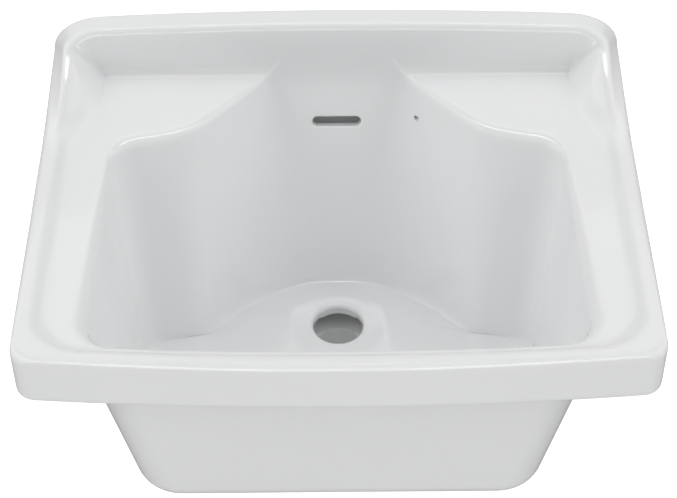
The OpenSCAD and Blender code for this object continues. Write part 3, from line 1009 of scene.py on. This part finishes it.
drift, given = effect("tone_drift", [("Color", COLOR, (1, 1, 1, 1)), ("Amount", FLOAT, 0.03),
                                     ("Scale", FLOAT, 6.0)], [("Color", COLOR)])
darkest = maths(drift, "SUBTRACT", 1.0, given["Amount"])
share = between(drift, noise(drift, given["Scale"]), darkest, 1.0)
scaled = wire(drift, "ShaderNodeVectorMath", {0: given["Color"], "Scale": share},
              operation="SCALE")
wire(drift, "NodeGroupOutput", {0: scaled.outputs[0]})

gloss, given = effect("uneven_gloss", [("Roughness", FLOAT, 0.3), ("Amount", FLOAT, 0.05),
                                       ("Scale", FLOAT, 20.0)], [("Roughness", FLOAT)])
spread = between(gloss, noise(gloss, given["Scale"], 3.0), 0.0, given["Amount"])
wire(gloss, "NodeGroupOutput", {0: maths(gloss, "ADD", given["Roughness"], spread)})

grain, given = effect("grain", [("Coarse", FLOAT, 40.0), ("Fine", FLOAT, 400.0),
                                ("Fine share", FLOAT, 0.3)], [("Height", FLOAT)])
fine = maths(grain, "MULTIPLY", noise(grain, given["Fine"], 3.0), given["Fine share"])
wire(grain, "NodeGroupOutput", {0: maths(grain, "ADD", noise(grain, given["Coarse"], 1.0),
                                         fine)})

against_wall, given = effect("wall_side", [("Edge", FLOAT, WALL_EDGE)], [("Mask", FLOAT)])
place = wire(against_wall, "ShaderNodeTexCoord").outputs["Object"]
from_wall = wire(against_wall, "ShaderNodeSeparateXYZ", {0: place}).outputs["Y"]
wobble = between(against_wall, noise(against_wall, 60.0), -WALL_WOBBLE, WALL_WOBBLE)
nearness = maths(against_wall, "ADD", from_wall, wobble)
limit = maths(against_wall, "MULTIPLY", given["Edge"], -1.0)
mask = wire(against_wall, "ShaderNodeMapRange", {0: nearness, 1: limit, 2: 0.0},
            interpolation_type="SMOOTHSTEP").outputs[0]
wire(against_wall, "NodeGroupOutput", {0: mask})
print("effects", len(bpy.data.node_groups))

# %% [markdown]
# ## The finishes
# The glaze is a glassy white coat over the fired body. It is left off the face that
# lies against the wall, where the clay is bare, warm and rough. Two materials would part
# along the edges of faces, so it is one material with a soft mask. The steel is zinc
# plated, so its sheen is cloudy. Nylon is a plain moulded white.

# %% Finishes
BARE_ROUGHNESS = 0.85


def group_in(tree, effect_group, values):
    """One use of a shared effect in a material."""
    return wire(tree, "ShaderNodeGroup", values, node_tree=effect_group).outputs[0]


def new_finish(name, color, tone, roughness, unevenness, texture, depth, **fixed):
    """A principled material whose colour, gloss and bumps come from the shared effects."""
    material = bpy.data.materials.new(name)
    material.use_nodes = True
    tree = material.node_tree
    shader = tree.nodes["Principled BSDF"]
    tint = group_in(tree, drift, {"Color": (*color, 1), "Amount": tone[0], "Scale": tone[1]})
    sheen = group_in(tree, gloss, {"Roughness": roughness, "Amount": unevenness[0],
                                   "Scale": unevenness[1]})
    height = group_in(tree, grain, {"Coarse": texture[0], "Fine": texture[1],
                                    "Fine share": texture[2]})
    bump = wire(tree, "ShaderNodeBump", {"Height": height, "Strength": 1.0, "Distance": depth})
    tree.links.new(tint, shader.inputs["Base Color"])
    tree.links.new(sheen, shader.inputs["Roughness"])
    tree.links.new(bump.outputs[0], shader.inputs["Normal"])
    for key, value in fixed.items():
        shader.inputs[key].default_value = value
    return material


def dress(pieces, material):
    for piece in pieces:
        piece.data.materials.clear()
        piece.data.materials.append(material)


glaze = new_finish("white_glaze", (0.915, 0.92, 0.925), (0.012, 5.0), 0.05,
                   (0.02, 12.0), (22.0, 160.0, 0.05), 0.00012)
tree = glaze.node_tree
shader = tree.nodes["Principled BSDF"]
mask = group_in(tree, against_wall, {"Edge": WALL_EDGE})
clay = group_in(tree, drift, {"Color": (0.74, 0.71, 0.65, 1), "Amount": 0.12, "Scale": 30.0})
# each row: the input, what it is on bare clay, and the sockets of a mix of that kind
for label, bare, kind, a, b, result in (("Base Color", clay, "RGBA", 6, 7, 2),
                                        ("Roughness", BARE_ROUGHNESS, "FLOAT", 2, 3, 0)):
    glazed = shader.inputs[label].links[0].from_socket
    mixed = wire(tree, "ShaderNodeMix", {0: mask, a: glazed, b: bare}, data_type=kind)
    tree.links.new(mixed.outputs[result], shader.inputs[label])
dress([ware], glaze)

zinc = new_finish("zinc_plating", (0.66, 0.67, 0.69), (0.12, 90.0), 0.26,
                  (0.16, 160.0), (300.0, 1500.0, 0.4), 0.00003, Metallic=1.0)
dress(bolts + nuts + washers, zinc)

nylon = new_finish("moulded_nylon", (0.8, 0.8, 0.76), (0.04, 60.0), 0.45,
                   (0.1, 120.0), (200.0, 900.0, 0.5), 0.00003)
dress(sleeves, nylon)
print("finishes", glaze.name, zinc.name, nylon.name)

# %% [markdown]
# ## The paper
# The paper is matt and a little lighter to the camera than it is to the sink, so that it
# reads as white. Its back is clear, so that the sink can be seen from behind and below.

# %% Paper
PAPER_LIFT = 0.9
paper = bpy.data.materials.new("paper")
paper.use_nodes = True
tree = paper.node_tree
tree.nodes.clear()
ray = wire(tree, "ShaderNodeLightPath")
matt = wire(tree, "ShaderNodeBsdfDiffuse", {0: (0.33, 0.33, 0.33, 1)})
glowing = wire(tree, "ShaderNodeEmission", {0: (1, 1, 1, 1), 1: PAPER_LIFT})
both = wire(tree, "ShaderNodeAddShader", {0: matt.outputs[0], 1: glowing.outputs[0]})
mixed = wire(tree, "ShaderNodeMixShader", {0: ray.outputs["Is Camera Ray"],
                                           1: matt.outputs[0], 2: both.outputs[0]})
clear = wire(tree, "ShaderNodeBsdfTransparent")
behind = wire(tree, "ShaderNodeNewGeometry").outputs["Backfacing"]
sheet = wire(tree, "ShaderNodeMixShader", {0: behind, 1: mixed.outputs[0], 2: clear.outputs[0]})
wire(tree, "ShaderNodeOutputMaterial", {0: sheet.outputs[0]})
backdrop.data.materials.append(paper)
print("paper", len(tree.nodes), "nodes")
